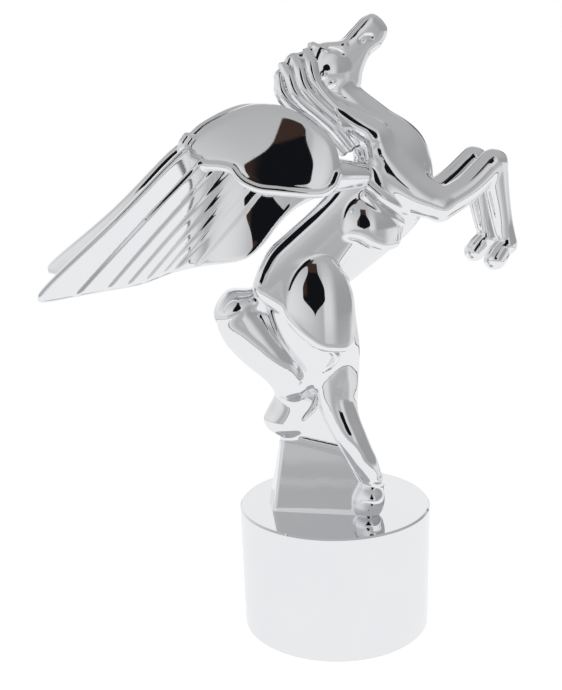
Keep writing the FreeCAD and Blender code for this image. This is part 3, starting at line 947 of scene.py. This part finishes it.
def make_world():
    """A white tent, open towards the camera, with two narrow grey openings behind."""
    world = bpy.data.worlds.new("tent")
    bpy.context.scene.world = world
    world.use_nodes = True
    nodes, links = world.node_tree.nodes, world.node_tree.links
    nodes.clear()
    out = nodes.new("ShaderNodeOutputWorld")
    back = nodes.new("ShaderNodeBackground")
    links.new(back.outputs[0], out.inputs["Surface"])
    coord = nodes.new("ShaderNodeTexCoord")

    def math_node(kind, *values):
        node = nodes.new("ShaderNodeMath")
        node.operation = kind
        for slot, value in zip(node.inputs, values):
            if isinstance(value, (int, float)):
                slot.default_value = value
            else:
                links.new(value, slot)
        return node.outputs[0]

    def along(direction):
        node = nodes.new("ShaderNodeVectorMath")
        node.operation = "DOT_PRODUCT"
        links.new(coord.outputs["Generated"], node.inputs[0])
        node.inputs[1].default_value = direction
        return node.outputs["Value"]

    def step_up(value, low, high):
        node = nodes.new("ShaderNodeMapRange")
        node.interpolation_type = "SMOOTHSTEP"
        node.inputs["From Min"].default_value = low
        node.inputs["From Max"].default_value = high
        links.new(value, node.inputs["Value"])
        return node.outputs["Result"]

    def mix(factor, a, b):
        return blended(nodes, links, "MIX", factor, a, b)

    def streaks():
        """Faint level bands on the walls, as if hung with cloth."""
        stretch = nodes.new("ShaderNodeMapping")
        stretch.inputs["Scale"].default_value = (0.9, 0.9, 34.0)
        links.new(coord.outputs["Generated"], stretch.inputs["Vector"])
        cloth = nodes.new("ShaderNodeTexNoise")
        cloth.inputs["Scale"].default_value = 1.6
        cloth.inputs["Detail"].default_value = 2.0
        links.new(stretch.outputs["Vector"], cloth.inputs["Vector"])
        return math_node("MULTIPLY", 0.45, step_up(cloth.outputs["Fac"], 0.40, 0.68))

    toward = Vector(place(CAMERA_AT)) - Vector(place((0, 0, 70)))
    toward.z = 0
    toward.normalize()
    side = Vector((-toward.y, toward.x, 0))        # the camera's right
    ahead, across, up = along(toward), along(side), along((0, 0, 1))
    azimuth = math_node("ARCTAN2", across, ahead)

    walls = mix(step_up(across, -0.85, 0.70), grey(0.84), grey(0.37))
    beside = math_node("MULTIPLY", step_up(azimuth, 0.20, 0.30), step_up(azimuth, 0.70, 0.42))
    walls = mix(beside, walls, grey(0.76))
    tent = mix(step_up(up, 0.10, 0.85), walls, grey(CEILING))
    tent = mix(step_up(ahead, -0.55, -0.92), tent, grey(BACK_WALL))
    for turned, low, high in BACK_GAPS:
        off = math_node("ABSOLUTE", math_node("SUBTRACT", azimuth, turned))
        tall = math_node("MULTIPLY", step_up(up, low, low + 0.07), step_up(up, high, high - 0.06))
        back_gap = math_node("MULTIPLY", step_up(off, 0.19, 0.15), tall)
        tent = mix(back_gap, tent, BACK_GAP_GREY)

    grow = step_up(up, 0.03, 0.17)
    shrink = math_node("SUBTRACT", 1.0, math_node("MULTIPLY", 0.52, step_up(up, 0.26, 0.55)))
    half = math_node("MULTIPLY", OPENING_HALF, math_node("MULTIPLY", grow, shrink))
    inside = math_node("SUBTRACT", half, math_node("ABSOLUTE", azimuth))
    below_lintel = math_node("SUBTRACT", 1.0, step_up(up, 0.64, 0.66))
    gap = math_node("MULTIPLY", step_up(inside, 0.0, 0.012), below_lintel)
    left_trim = math_node("MULTIPLY", step_up(azimuth, -0.16, -0.24), step_up(up, 0.16, 0.24))
    trim = math_node("MAXIMUM", left_trim, step_up(up, 0.50, 0.53))
    opening = mix(gap, tent, mix(trim, ROOM_DARK, TRIM_BROWN))

    low_wall = mix(step_up(up, -0.30, -0.07), grey(0.80), grey(0.45))
    right_wall = mix(step_up(up, -0.32, -0.16), grey(0.80), grey(0.47))
    low_wall = mix(step_up(azimuth, 0.10, 0.55), low_wall, right_wall)
    low_wall = mix(step_up(azimuth, -0.35, -0.80), low_wall, grey(0.80))
    low_wall = mix(step_up(azimuth, 0.95, 1.35), low_wall, grey(0.84))
    skirt = mix(streaks(), low_wall, grey(0.62))
    surround = mix(step_up(up, -0.06, 0.03), skirt, opening)
    table = mix(step_up(up, -0.95, -0.90), grey(0.95), surround)
    light = nodes.new("ShaderNodeLightPath")
    final = mix(light.outputs["Is Camera Ray"], table, grey(1.0))
    links.new(final, back.inputs["Color"])
    bpy.context.scene.view_settings.view_transform = "Standard"


# ---------------------------------------------------------------- putting it together

NODE_LOOKS = {
    "chrome_plate": ["plinth", "horse_casting", "wing_right", "wing_left"],
    "zinc_steel": ["wing_tie_rod", "mounting_stud", "flat_washer", "spring_washer", "hex_nut",
                   "locating_dowel"],
    "felt": ["foot_pad"],
}


def main():
    looks = {"chrome_plate": chrome(), "zinc_steel": zinc(), "felt": felt()}
    for piece in (make_horse(),) + make_wings():
        piece.data.materials.append(looks["chrome_plate"])
    for look, names in NODE_LOOKS.items():
        for name in names:
            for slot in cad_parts[name].material_slots:
                slot.material = looks[look]
    make_camera()
    make_floor()
    make_world()


main()
